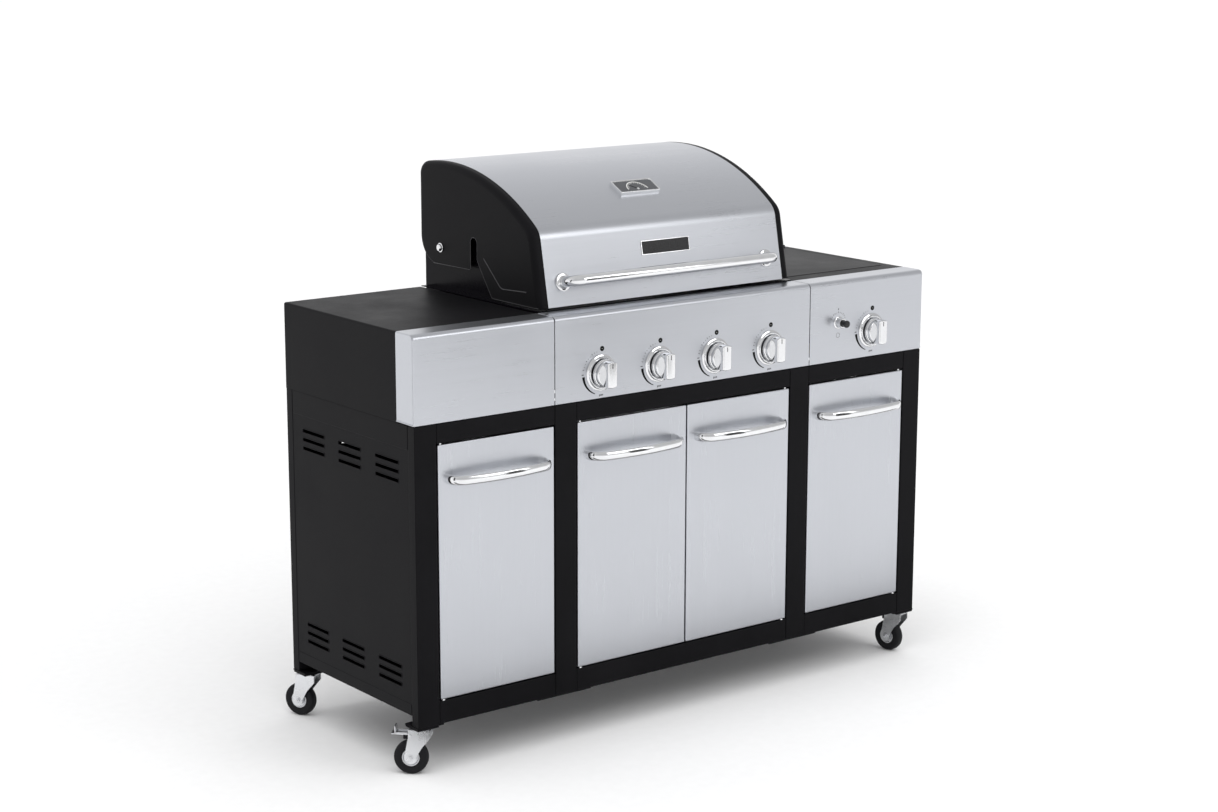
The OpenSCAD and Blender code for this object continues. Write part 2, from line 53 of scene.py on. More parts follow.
def arc(c, r, a0, a1, n):
    angles = [math.radians(a0 + (a1 - a0) * i / n) for i in range(n + 1)]
    return [(c[0] + r * math.cos(a), c[1] + r * math.sin(a)) for a in angles]


def fillet(points, radius, n=6):
    """The open line with its corners rounded. radius is one number, or one for each inner point."""
    pts = [Vector(p) for p in points]
    radii = radius if isinstance(radius, (list, tuple)) else [radius] * (len(pts) - 2)
    line = [pts[0]]
    for a, b, c, r in zip(pts, pts[1:], pts[2:], radii):
        u, v = (a - b).normalized(), (c - b).normalized()
        half = u.angle(v) / 2
        reach = r / math.tan(half)
        centre = b + (u + v).normalized() * (r / math.sin(half))
        start, end = b + u * reach - centre, b + v * reach - centre
        line += [centre + start.slerp(end, i / n) * r for i in range(n + 1)]
    return line + [pts[-1]]


def strips(rows, n):
    """Faces between rows of n points that stay open at their ends."""
    return [[k * n + i, k * n + i + 1, (k + 1) * n + i + 1, (k + 1) * n + i]
            for k in range(rows - 1) for i in range(n - 1)]


def tube_faces(rows, n):
    """Faces between closed rings of n points, with both ends shut."""
    faces = [[k * n + i, k * n + (i + 1) % n, (k + 1) * n + (i + 1) % n, (k + 1) * n + i]
             for k in range(rows - 1) for i in range(n)]
    return faces + [list(range(n)), list(range((rows - 1) * n, rows * n))]


class Piece:
    """Collects the faces of one piece, and hands it over as an object that rides on a body."""

    def __init__(self, name, body, nodes=(), slot=None, place=None):
        self.name, self.body, self.nodes, self.slot = name, body, nodes, slot
        self.place = place or Matrix.Identity(4)
        self.bm = bmesh.new()
        self.mats, self.index = [], 0

    def use(self, mat):
        if mat not in self.mats:
            self.mats.append(mat)
        self.index = self.mats.index(mat)
        return self

    def add(self, verts, faces, bevel=0.0, seg=3):
        vs = [self.bm.verts.new(at(self.place @ Vector(v))) for v in verts]
        new = [self.bm.faces.new([vs[i] for i in f]) for f in faces]
        bmesh.ops.recalc_face_normals(self.bm, faces=new)
        for f in new:
            f.material_index = self.index
        if bevel:
            self.bm.edges.index_update()
            # Two faces share each edge; a dict keeps it once, and in the same order at every run
            edges = dict.fromkeys(e for f in new for e in f.edges
                                  if len(e.link_faces) == 2 and e.calc_face_angle(0) > BEVEL_FROM)
            done = bmesh.ops.bevel(self.bm, geom=list(edges), offset=bevel * MM, segments=seg, profile=0.5,
                                   affect="EDGES", clamp_overlap=True)
            for f in done["faces"]:
                f.material_index = self.index
        return self

    def box(self, x0, x1, y0, y1, z0, z1, bevel=1.0, seg=3, skip=""):
        """A block. skip leaves faces out: any of l r f b d u for left, right, front, back, down, up."""
        verts = [(x, y, z) for x in (x0, x1) for y in (y0, y1) for z in (z0, z1)]
        sides = {"l": (0, 1, 3, 2), "r": (4, 6, 7, 5), "f": (0, 4, 5, 1),
                 "b": (2, 3, 7, 6), "d": (0, 2, 6, 4), "u": (1, 5, 7, 3)}
        return self.add(verts, [f for k, f in sides.items() if k not in skip], bevel, seg)

    def prism(self, outline, axis, a, b):
        """outline is in the plane across axis: (y, z), (x, z) or (x, y)."""
        def put(p, h):
            q = list(p)
            q.insert("xyz".index(axis), h)
            return q
        n = len(outline)
        verts = [put(p, a) for p in outline] + [put(p, b) for p in outline]
        faces = [list(range(n)), list(range(2 * n - 1, n - 1, -1))]
        faces += [[i, i + n, (i + 1) % n + n, (i + 1) % n] for i in range(n)]
        return self.add(verts, faces)

    def ribbon(self, line, axis, a, b, steps=1):
        """An open sheet: the line in the plane across axis, drawn from a to b."""
        verts, n = [], len(line)
        for k in range(steps + 1):
            for p in line:
                q = list(p)
                q.insert("xyz".index(axis), a + (b - a) * k / steps)
                verts.append(q)
        return self.add(verts, strips(steps + 1, n))

    def lathe(self, profile, centre=(0, 0, 0), axis="y", steps=48):
        """profile is (radius, distance along axis). Radius 0 closes an end; without it the ends are joined."""
        along = "xyz".index(axis)
        verts, rows = [], []
        for r, h in profile:
            row = []
            for i in range(steps if r > 1e-6 else 1):
                a = 2 * math.pi * i / steps
                v = [r * math.cos(a), r * math.sin(a)]
                v.insert(along, h)
                row.append(len(verts))
                verts.append([v[k] + centre[k] for k in range(3)])
            rows.append(row)
        faces = []
        pairs = list(zip(rows, rows[1:]))
        if len(rows[0]) > 1 and len(rows[-1]) > 1:
            pairs.append((rows[-1], rows[0]))
        for p, q in pairs:
            for i in range(steps):
                j = (i + 1) % steps
                if len(p) > 1 and len(q) > 1:
                    faces.append([p[i], p[j], q[j], q[i]])
                elif len(p) > 1:
                    faces.append([p[i], p[j], q[0]])
                elif len(q) > 1:
                    faces.append([p[0], q[j], q[i]])
        return self.add(verts, faces)

    def sweep(self, path, section, up):
        """Draws the section along the path. Its second coordinate stays along up."""
        path, up = [Vector(p) for p in path], Vector(up)
        n, verts = len(section), []
        for i, p in enumerate(path):
            t = (path[min(i + 1, len(path) - 1)] - path[max(i - 1, 0)]).normalized()
            side = up.cross(t).normalized()
            verts += [p + side * u + up * v for u, v in section]
        return self.add(verts, tube_faces(len(path), n))

    def loft(self, rings):
        return self.add([v for ring in rings for v in ring], tube_faces(len(rings), len(rings[0])))

    def cut(self, xs=(), ys=(), zs=()):
        """Adds edges where the planes x, y and z cross the piece."""
        for k, values in enumerate((xs, ys, zs)):
            for v in values:
                point, normal = [0, 0, 0], [0, 0, 0]
                point[k], normal[k] = v, 1
                geom = self.bm.verts[:] + self.bm.edges[:] + self.bm.faces[:]
                bmesh.ops.bisect_plane(self.bm, geom=geom, plane_co=at(self.place @ Vector(point)),
                                       plane_no=(self.place.to_3x3() @ Vector(normal)).normalized())
        return self

    def hole(self, x0, x1, y0, y1, z0, z1):
        """Takes out the faces whose middle lies in the box."""
        inside = self.place.inverted()
        lost = []
        for f in self.bm.faces:
            c = inside @ (f.calc_center_median() / MM - SHIFT)
            if x0 < c.x < x1 and y0 < c.y < y1 and z0 < c.z < z1:
                lost.append(f)
        bmesh.ops.delete(self.bm, geom=lost, context="FACES")
        return self

    def done(self, sheet=0.0, angle=34, offset=-1.0):
        """sheet is the wall that open faces get, and angle the turn from which an edge stays sharp."""
        me = bpy.data.meshes.new(self.name)
        if self.place.determinant() < 0:
            bmesh.ops.recalc_face_normals(self.bm, faces=self.bm.faces[:])
        self.bm.to_mesh(me)
        self.bm.free()
        for m in self.mats:
            me.materials.append(m)
        obj = bpy.data.objects.new(self.name, me)
        scene.collection.objects.link(obj)
        if sheet:
            wall = obj.modifiers.new("sheet", "SOLIDIFY")
            wall.thickness, wall.offset = sheet * MM, offset
            graph = bpy.context.evaluated_depsgraph_get()
            ready = bpy.data.meshes.new_from_object(obj.evaluated_get(graph))
            obj.modifiers.clear()
            obj.data = me = ready
            me.name = self.name
        me.shade_smooth()
        me.set_sharp_from_angle(angle=math.radians(angle))
        normals = obj.modifiers.new("normals", "WEIGHTED_NORMAL")
        normals.keep_sharp = True
        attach(obj, self.body)
        if self.nodes:
            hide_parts(*self.nodes)
        return obj


# ---------------------------------------------------------------- materials

class Look:
    """A node material with one Principled shader, built from short calls."""

    def __init__(self, name, color, metallic=0.0, roughness=0.5, **sockets):
        self.mat = bpy.data.materials.new(name)
        self.mat.use_nodes = True
        self.tree = self.mat.node_tree
        self.shader = self.tree.nodes["Principled BSDF"]
        self.shader.inputs["Base Color"].default_value = (*color, 1)
        self.shader.inputs["Metallic"].default_value = metallic
        self.shader.inputs["Roughness"].default_value = roughness
        for key, value in sockets.items():
            self.shader.inputs[key.replace("_", " ")].default_value = value
        self.coord = self.tree.nodes.new("ShaderNodeTexCoord")

    def noise(self, scale, stretch=(1, 1, 1), detail=4.0, rough=0.55):
        mapping = self.tree.nodes.new("ShaderNodeMapping")
        mapping.inputs["Scale"].default_value = stretch
        self.tree.links.new(self.coord.outputs["Object"], mapping.inputs["Vector"])
        tex = self.tree.nodes.new("ShaderNodeTexNoise")
        tex.inputs["Scale"].default_value = scale
        tex.inputs["Detail"].default_value = detail
        tex.inputs["Roughness"].default_value = rough
        self.tree.links.new(mapping.outputs[0], tex.inputs["Vector"])
        return tex.outputs["Fac"]

    def spread(self, source, low, high, start=0.3, end=0.7):
        ramp = self.tree.nodes.new("ShaderNodeMapRange")
        ramp.inputs["From Min"].default_value = start
        ramp.inputs["From Max"].default_value = end
        ramp.inputs["To Min"].default_value = low
        ramp.inputs["To Max"].default_value = high
        self.tree.links.new(source, ramp.inputs["Value"])
        return ramp.outputs[0]

    def plus(self, a, b):
        node = self.tree.nodes.new("ShaderNodeMath")
        self.tree.links.new(a, node.inputs[0])
        self.tree.links.new(b, node.inputs[1])
        return node.outputs[0]

    def color(self, source, *stops):
        """stops are (position, colour)."""
        ramp = self.tree.nodes.new("ShaderNodeValToRGB")
        marks = ramp.color_ramp.elements
        marks[0].position, marks[0].color = stops[0][0], (*stops[0][1], 1)
        marks[1].position, marks[1].color = stops[-1][0], (*stops[-1][1], 1)
        for position, value in stops[1:-1]:
            marks.new(position).color = (*value, 1)
        self.tree.links.new(source, ramp.inputs[0])
        self.tree.links.new(ramp.outputs[0], self.shader.inputs["Base Color"])
        return self

    def rough(self, source):
        self.tree.links.new(source, self.shader.inputs["Roughness"])
        return self

    def bump(self, source, strength, depth):
        node = self.tree.nodes.new("ShaderNodeBump")
        node.inputs["Strength"].default_value = strength
        node.inputs["Distance"].default_value = depth * MM
        self.tree.links.new(source, node.inputs["Height"])
        self.tree.links.new(node.outputs[0], self.shader.inputs["Normal"])
        return self


def tone(color, k):
    return tuple(c * k for c in color)


def brushed(name, color, stretch, roughness=0.3):
    """stretch is small along the brushing."""
    look = Look(name, color, 1.0, roughness)
    fine = look.noise(1.0, tuple(s * 800 for s in stretch), 3.0, 0.7)
    streak = look.noise(1.0, tuple(s * 120 for s in stretch), 5.0, 0.7)
    smudge = look.noise(4.0, detail=5.0, rough=0.6)
    both = look.plus(fine, streak)
    gloss = look.spread(both, roughness - 0.04, roughness + 0.05, 0.7, 1.3)
    look.rough(look.plus(gloss, look.spread(smudge, -0.02, 0.04)))
    shade = look.spread(look.plus(both, smudge), 0.0, 1.0, 1.0, 2.0)
    look.color(shade, (0.0, tone(color, 0.97)), (0.5, color), (1.0, tone(color, 1.03)))
    look.bump(fine, 0.035, 0.03)
    return look.mat


def powder(name, color, roughness=0.5, grain=900, specular=0.3, ior=1.5):
    look = Look(name, color, 0.0, roughness, Specular_IOR_Level=specular, IOR=ior)
    peel = look.noise(grain, detail=3.0)
    patch = look.noise(7.0, detail=6.0, rough=0.65)
    look.color(patch, (0.3, tone(color, 0.8)), (0.7, tone(color, 1.25)))
    gloss = look.spread(patch, roughness - 0.05, roughness + 0.05)
    look.rough(look.plus(gloss, look.spread(peel, -0.04, 0.04)))
    look.bump(peel, 0.18, 0.08)
    return look.mat


def polished(name, color, roughness=0.09):
    look = Look(name, color, 1.0, roughness)
    smear = look.noise(26.0, detail=6.0, rough=0.65)
    speck = look.noise(900.0, detail=2.0)
    look.color(smear, (0.3, tone(color, 0.93)), (0.7, color))
    look.rough(look.spread(smear, roughness * 0.7, roughness * 1.5))
    look.bump(speck, 0.02, 0.02)
    return look.mat


def pitted(name, color, metallic, roughness, grain=420):
    look = Look(name, color, metallic, roughness)
    pit = look.noise(grain, detail=5.0, rough=0.7)
    patch = look.noise(14.0, detail=5.0)
    look.color(patch, (0.3, tone(color, 0.65)), (0.7, tone(color, 1.3)))
    look.rough(look.spread(pit, roughness - 0.1, roughness + 0.1))
    look.bump(pit, 0.4, 0.4)
    return look.mat


BLACK = powder("powder_black", (0.0060, 0.0058, 0.0068), 0.46, 900, 0.5, 1.16)
# A lighter copy of the black powder coat: a painted highlight for the light that catches the hood caps' rib and
# lower edge
PAINTED_HIGHLIGHT_BLACK = powder("powder_painted_highlight", (0.030, 0.030, 0.033), 0.42, 900, 0.5)
LID_BLACK = powder("powder_lid", (0.0075, 0.0075, 0.0085), 0.5, 900, 0.2)
ENAMEL = powder("enamel_black", (0.0022, 0.0016, 0.0034), 0.24, 500, 0.5, 1.16)
STEEL = (0.575, 0.590, 0.625)
STEEL_X = brushed("steel_brushed_across", STEEL, (0.012, 1, 1))
STEEL_Z = brushed("steel_brushed_upright", STEEL, (1, 1, 0.012))
CHROME = polished("chrome", (0.86, 0.865, 0.875))
ZINC = polished("zinc", (0.80, 0.81, 0.83), 0.27)
MILL = pitted("mill_steel", (0.42, 0.41, 0.40), 1.0, 0.36, 260)
IRON = pitted("iron_seasoned", (0.018, 0.017, 0.016), 0.0, 0.58)
BRASS = pitted("brass_turned", (0.58, 0.42, 0.18), 1.0, 0.32, 300)
RUBBER = powder("rubber_black", (0.0075, 0.0075, 0.009), 0.62, 1500, 0.2)
PLASTIC = powder("plastic_black", (0.010, 0.010, 0.011), 0.28, 1200, 0.4)
INK = powder("ink_black", (0.004, 0.004, 0.0045), 0.55, 1500, 0.1)
WHITE = powder("dial_white", (0.72, 0.72, 0.70), 0.5, 1500, 0.2)
DIAL = powder("dial_grey", (0.055, 0.058, 0.064), 0.14, 300, 0.5)
CARD = powder("card_grey", (0.05, 0.05, 0.05), 0.9, 100, 0.1)

# ---------------------------------------------------------------- hood

# The hood's side outline in (y, z): a straight front that leans back by TILT, a crease, the big arc and the rear
HOOD_C, HOOD_R, TILT, CREASE_R, REAR_R = Vector((440, 573)), 550, math.radians(11), 45, 30
FOOT, REAR_Y, REAR_Z = Vector((64, 842)), 527, 1040
CAP_IN, CAP_OUT, CAP_EDGE = 332, 355, 14.0
HINGE_Y, HINGE_Z = 440, 931
inward = Vector((math.cos(TILT), -math.sin(TILT)))


def polar(degrees):
    return Vector((math.cos(math.radians(degrees)), math.sin(math.radians(degrees))))


crease_a = math.degrees(math.acos((CREASE_R - (HOOD_C - FOOT).dot(inward)) / (HOOD_R - CREASE_R)) - TILT)
crease_c = HOOD_C + (HOOD_R - CREASE_R) * polar(crease_a)
rear_a = math.degrees(math.acos((REAR_Y - REAR_R - HOOD_C.x) / (HOOD_R - REAR_R)))
rear_c = HOOD_C + (HOOD_R - REAR_R) * polar(rear_a)


def hood_line():
    line = [FOOT] + arc(crease_c, CREASE_R, 169, crease_a, 8)
    line += arc(HOOD_C, HOOD_R, crease_a, rear_a, 56)[1:]
    line += arc(rear_c, REAR_R, rear_a, 0, 10)[1:]
    return [Vector(p) for p in line + [(REAR_Y, REAR_Z)]]


def left_normals(line):
    """The direction to the left of travel at each point of an open line."""
    normals = []
    for i in range(len(line)):
        d = (line[min(i + 1, len(line) - 1)] - line[max(i - 1, 0)]).normalized()
        normals.append(Vector((-d.y, d.x)))
    return normals


def mirrored(mirror):
    return Matrix.Scale(-1, 4, (1, 0, 0)) if mirror else Matrix.Identity(4)


skin = Piece("hood_shell", "hood", ["hood_skin"], "stainless").use(STEEL_X)
hem_line = [FOOT + Vector((10, 0.6)), FOOT + Vector((1.2, 0.2))]
skin.ribbon(hem_line + hood_line(), "x", 0.4 - CAP_IN, CAP_IN - 0.4, 8)
skin.done(SHEET)


def hood_cap(name, node, mirror):
    place = mirrored(mirror)
    cap = Piece(name, "hood", [node], "black_powder", place).use(BLACK)
    line = hood_line()
    edge = [CAP_EDGE] * len(line)
    tail = arc((460, 960), 67, 0, -90, 12)
    line += [Vector(p) for p in tail[1:]]
    edge += [CAP_EDGE - 12.5 * i / 12 for i in range(1, 13)]
    rows = [[(CAP_IN, p.x, p.y) for p in line]]
    points = list(zip(line, left_normals(line), edge))
    for k in range(7):
        s, c = math.sin(math.radians(15 * k)), math.cos(math.radians(15 * k))
        rows.append([(CAP_OUT - r + r * s, *(p - n * (r * (1 - c)))) for p, n, r in points])
    n = len(line)
    slot_top = arc((310, 955), 13, 0, 180, 12)
    notch = [(323, 895)] + slot_top + [(297, 918), (241, 842)]
    verts = [v for row in rows for v in row] + [(CAP_OUT, *p) for p in notch]
    faces = strips(len(rows), n)
    faces.append(list(range(len(rows) * n - n, len(verts))))
    cap.add(verts, faces)
    bmesh.ops.triangulate(cap.bm, faces=[f for f in cap.bm.faces if len(f.verts) > 4])
    cap.done(SHEET, 30)
    # The rib and the cap's lower edge are drawn in the lighter black: a painted highlight where light catches these
    # edges
    rib = Piece(name + "_rib", "hood", place=place, slot="black_powder").use(PAINTED_HIGHLIGHT_BLACK)
    path = fillet([(112, 872), (206, 867), (272, 926)], [26], 10)
    rib.sweep([(CAP_OUT - 0.8, p.x, p.y) for p in path], arc((0, 0), 1.6, 0, 345, 23), (1, 0, 0))
    low = fillet([(470, 893.4), (323, 895), (323, 955)], 4, 4) + [Vector(p) for p in slot_top[1:]]
    low += fillet([(297, 955), (297, 918), (241, 842), (70, 842)], [20, 10], 6)[1:]
    rib.sweep([(CAP_OUT - 0.6, p.x, p.y) for p in low], arc((0, 0), 0.9, 0, 315, 7), (1, 0, 0))
    rib.done()


hood_cap("hood_end_left", "hood_cap_left", True)
hood_cap("hood_end_right", "hood_cap_right", False)

# The hood handle's own frame: X across, Y up the hood's front, Z out of it
foot_y, foot_z = FOOT.x + 51 * math.tan(TILT), FOOT.y + 51
up_front = Vector((0, math.sin(TILT), math.cos(TILT)))
out_front = Vector((0, -math.cos(TILT), math.sin(TILT)))


def frame_at(origin, ex, ey, ez):
    m = Matrix.Identity(4)
    for k, axis in enumerate((ex, ey, ez)):
        for row in range(3):
            m[row][k] = axis[row]
    for row in range(3):
        m[row][3] = origin[row]
    return m


front_place = frame_at((0, foot_y, foot_z), Vector((1, 0, 0)), up_front, out_front)
GRIP_R, GRIP_X, GRIP_OUT = 12, 287, 42
circle = arc((0, 0), GRIP_R, 0, 348.75, 31)
handle = Piece("hood_handle_tube", "hood", ["hood_handle"], "chrome", front_place).use(CHROME)
bends = [(-GRIP_X, 0, 0.5), (-GRIP_X, 0, GRIP_OUT), (GRIP_X, 0, GRIP_OUT), (GRIP_X, 0, 0.5)]
handle.sweep(fillet(bends, 28, 14), circle, (0, 1, 0))
washer = [(12.2, 0.3), (20, 0.3), (20.3, 1.2), (19.6, 3.2), (18.2, 4.0), (14.5, 4.4), (13.0, 6.2), (12.2, 7.2)]
for s in (-1, 1):
    handle.lathe(washer, (s * GRIP_X, 0, 0), "z", 40)
handle.done(angle=40)

badge = Piece("hood_badge_plate", "hood", slot="black_plastic", place=front_place).use(CHROME)
badge.box(-65.5, 70.5, 37.5, 69.5, 0.0, 1.6, 0.9)
badge.use(PLASTIC).box(-63.5, 68.5, 39.2, 67.8, 0.4, 2.4, 0.8)
badge.done()

# The thermometer's place round the hood's big arc
TH = math.radians(117)
top_out = Vector((0, math.cos(TH), math.sin(TH)))
top_up = Vector((0, math.sin(TH), -math.cos(TH)))
gauge_at = (0, HOOD_C.x + HOOD_R * math.cos(TH), HOOD_C.y + HOOD_R * math.sin(TH))
gauge_place = frame_at(gauge_at, Vector((1, 0, 0)), top_up, top_out)


def slab(half_x, half_y, r, n=8):
    corners = [(half_x - r, half_y - r, 0), (r - half_x, half_y - r, 90),
               (r - half_x, r - half_y, 180), (half_x - r, r - half_y, 270)]
    return [p for x, y, a in corners for p in arc((x, y), r, a, a + 90, n)]


def rings(layers):
    """layers are (height, half width, half depth, corner radius)."""
    return [[(x, y, z) for x, y in slab(*size)] for z, *size in layers]


gauge = Piece("thermometer_gauge", "hood", ["thermometer"], "chrome", gauge_place).use(CHROME)
gauge.loft(rings([(-1.2, 56, 24, 3.5), (4.6, 56, 24, 3.5), (7.4, 55.3, 23.3, 3), (8.0, 54.6, 22.6, 2.8),
                  (7.4, 53.2, 21.2, 2.2), (4.6, 52.5, 20.5, 2.0)]))
gauge.use(DIAL).loft(rings([(4.7, 52.9, 20.9, 2.0), (5.6, 52.9, 20.9, 2.0)]))
gauge.use(MILL).lathe([(0, -54), (3, -53), (3, 0), (0, 0)], axis="z", steps=20)


def flat(half_x, half_y):
    return [(-half_x, -half_y), (half_x, -half_y), (half_x, half_y), (-half_x, half_y)]


DIAL_Y = -11.5
gauge.use(WHITE)
for a in range(12, 169, 12):
    c, s = math.cos(math.radians(a)), math.sin(math.radians(a))
    inner = 20.5 if a % 24 == 12 else 22
    gauge.sweep([(c * inner, s * inner + DIAL_Y, 5.75), (c * 25, s * 25 + DIAL_Y, 5.75)], flat(0.5, 0.1), (0, 0, 1))
gauge.sweep([(x, y + DIAL_Y, 5.7) for x, y in arc((0, 0), 27, 0, 180, 40)], flat(1.1, 0.1), (0, 0, 1))
gauge.use(INK).sweep([(2.4, -13.2, 6.0), (-16.5, 5.0, 6.0)], flat(0.8, 0.15), (0, 0, 1))
gauge.use(CHROME).lathe([(0, 7.0), (2.6, 6.8), (3.6, 6.0), (3.6, 5.5), (0, 5.5)], (0, DIAL_Y, 0), "z", 24)
gauge.done()

bolts = Piece("hood_hinge_bolts", "cabinet", ["hood_bolts"], "chrome").use(CHROME)
bolt = [(0, 334), (5, 334), (5, 345), (9, 345), (9, 353), (5, 353), (5, 355.4), (10.5, 355.4), (10.5, 356.8),
        (8.4, 357.2), (8.2, 359.4), (7.0, 361.6), (4.2, 363.0), (0, 363.6)]
for s in (-1, 1):
    bolts.lathe([(r, s * x) for r, x in bolt], (0, HINGE_Y, HINGE_Z), "x", 36)
bolts.done()

# ---------------------------------------------------------------- cabinet

SIDE, DEPTH, POST_D, CABINET_TOP, SHELF_X, SHELF_TOP = 718, 512, 25, 645, 720, 835
SLOT_W, SLOT_H, SLOT_STEP, ROW_STEP = 88, 8, 147, 19.5


def span(s, x0, x1):
    """The x range on side s, in rising order."""
    return min(s * x0, s * x1), max(s * x0, s * x1)


cage = Piece("cabinet_frame_posts", "cabinet", ["cabinet_posts"], "black_powder").use(BLACK)
for s in (-1, 1):
    for x0, x1, y0, y1 in ((664, SIDE, 0, POST_D), (305, 362, 0, POST_D), (664, SIDE, DEPTH - POST_D, DEPTH)):
        cage.box(*span(s, x0, x1), y0, y1, 0, CABINET_TOP, 2.0)
cage.done()
rails = Piece("cabinet_frame_rails", "cabinet", ["cabinet_rails"], "black_powder").use(BLACK)
for x0, x1 in ((-663.6, -362.4), (-304.6, 304.6), (362.4, 663.6)):
    rails.box(x0, x1, 0.4, POST_D, 0, 50, 2.0)
    rails.box(x0, x1, 0.4, POST_D, 603, 644.8, 2.0)
for s in (-1, 1):
    for z0, z1 in ((22, 48.5), (592, CABINET_TOP)):
        rails.box(*span(s, 698, SIDE), 25.4, 486.6, z0, z1, 2.0)
for z in (22, 603):
    rails.box(-663.6, 663.6, 498, 510.4, z, z + 26, 1.5)
rails.done()


def side_panel(name, node, mirror):
    place = mirrored(mirror)
    panel = Piece(name, "cabinet", [node], "black_powder", place).use(BLACK)
    y0, y1, z0, z1 = POST_D, DEPTH - POST_D, 47, 593
    panel.add([(716.5, y, z) for y, z in ((y0, z0), (y1, z0), (y1, z1), (y0, z1))], [[0, 1, 2, 3]])
    slots = [(63 + SLOT_STEP * g, top - ROW_STEP * row) for top in (556, 116) for g in range(3) for row in range(3)]
    panel.cut(ys=sorted({y + d for y, _ in slots for d in (0, SLOT_W)}),
              zs=sorted({z + d for _, z in slots for d in (0, SLOT_H)}))
    for y, z in slots:
        panel.hole(700, 730, y, y + SLOT_W, z, z + SLOT_H)
    panel.done(SHEET, offset=0.0)
    lips = Piece(name + "_louvres", "cabinet", slot="black_powder", place=place).use(BLACK)
    for y, z in slots:
        near, far, low, high = y - 0.6, y + SLOT_W + 0.6, z - 0.6, z + SLOT_H + 0.6
        middle = (y + SLOT_W / 2, high)
        rim = fillet([middle, (near, high), (near, low), (far, low), (far, high), middle], 2.6, 4)
        lips.sweep([(716.9, q.x, q.y) for q in rim], arc((0, 0), 1.25, 0, 324, 9), (1, 0, 0))
    lips.done()


side_panel("side_sheet_left", "side_panel_left", True)
side_panel("side_sheet_right", "side_panel_right", False)

for side, node in ((-1, "shelf_left"), (1, "shelf_right")):
    shelf = Piece(node + "_box", "cabinet", [node], "black_powder").use(BLACK)
    shelf.box(*span(side, 362.4, SHELF_X), 62.6, DEPTH, CABINET_TOP, SHELF_TOP, 5.0, 4, skip="df")
    if side > 0:
        shelf.cut(xs=(386, 689), ys=(108, 474)).hole(386, 689, 108, 474, 830, 840)
    shelf.done(SHEET)

LID_HINGE = (0, 467, 838)
hinges = Piece("lid_hinge_ears", "cabinet", slot="black_powder").use(BLACK)
for x0, x1 in ((380.4, 385.6), (689.4, 694.6)):
    hinges.box(x0, x1, 461, 473, 834.6, 843, 1.6)
hinges.use(CHROME).lathe([(0, 379.8), (2.2, 380), (2.2, 398), (0, 398)], LID_HINGE, "x", 20)
hinges.lathe([(0, 695.2), (2.2, 695), (2.2, 677), (0, 677)], LID_HINGE, "x", 20)
hinges.done()

lid = Piece("side_burner_cover", "side_lid", ["side_burner_lid"], "black_powder").use(LID_BLACK)
lid.box(387.5, 687.5, 109.5, 463, 826, 836, 2.2, 4, skip="db")
lid.done(SHEET)
hem = Piece("side_burner_cover_hem", "side_lid", slot="black_powder").use(LID_BLACK)
hem.lathe([(2.3, 388), (4.5, 388), (4.5, 687), (2.3, 687)], LID_HINGE, "x", 28)
hem.done()

FASCIA_SEAM = 1.2
FRONT = fillet([(14, 645.4), (0, 645.4), (0, SHELF_TOP), (62, SHELF_TOP)], [2.2, 11], 10)


def fascia(name, node, x_in, x_out, outer=4.0, wall=True):
    """A folded panel with its inner end rounded back a little and its outer end by outer; wall closes that end."""
    s = 1 if x_out > x_in else -1
    line = [Vector(p) for p in FRONT]
    normals = left_normals(line)

    def row(x, t):
        return [(x, *(p - n * t)) for p, n in zip(line, normals)]

    def corner(x, side, r):
        turns = [math.radians(18 * k) for k in range(6)]
        return [row(x - side * r * (1 - math.sin(a)), r * (1 - math.cos(a))) for a in turns]

    rows = corner(x_in, -s, FASCIA_SEAM)[::-1] + [row((x_in + x_out) / 2, 0)] + corner(x_out, s, outer)
    n = len(line)
    faces = strips(len(rows), n)
    verts = [v for points in rows for v in points]
    if wall:
        last = (len(rows) - 1) * n
        verts += [(x_out, 62, rows[-1][i][2]) for i in range(n)]
        faces += [[last + i, last + i + 1, last + n + i + 1, last + n + i]
                  for i in range(n - 1) if rows[-1][i + 1][1] < 61]
    panel = Piece(name, "cabinet", [node], "stainless").use(STEEL_X)
    panel.add(verts, faces)
    panel.done(SHEET, 30)


# ---------------------------------------------------------------- control panel

fascia("panel_left", "fascia_left", -363.2, -SHELF_X)
fascia("panel_right", "fascia_right", 363.2, SHELF_X)
fascia("panel_middle", "fascia_center", -361.4, 361.4, FASCIA_SEAM, False)

KNOBS = [(-240, 702), (-80, 702), (80, 702), (240, 702), (555, 708)]
IGNITER = (450, 737)
rings_piece = Piece("control_rings", "cabinet", ["control_bezels"], "chrome").use(CHROME)
bezel = [(31.5, 0.4), (39.6, 0.4), (40.2, -0.6), (39.8, -2.2), (38.4, -3.2), (36.4, -3.6), (35.6, -4.4),
         (35.2, -6.2), (34.2, -7.2), (32.4, -7.2), (31.5, -6.2)]
collar = [(7.8, 0.2), (15, 0.2), (15, -2.2), (14, -3.2), (12.2, -3.6), (11.6, -4.6), (11.4, -15.5), (10.4, -17),
          (8.6, -17), (7.8, -16)]
for x, z in KNOBS:
    rings_piece.lathe(bezel, (x, 0, z), "y", 64)
rings_piece.lathe(collar, (IGNITER[0], 0, IGNITER[1]), "y", 48)
rings_piece.done()


def bar(w, h, y, n=10):
    """Outline of a knob's grip at depth y: straight sides and round ends."""
    a = math.degrees(math.asin(w / h))
    return [(x, y, z) for x, z in arc((0, 0), h, 90 - a, 90 + a, n) + arc((0, 0), h, 270 - a, 270 + a, n)]


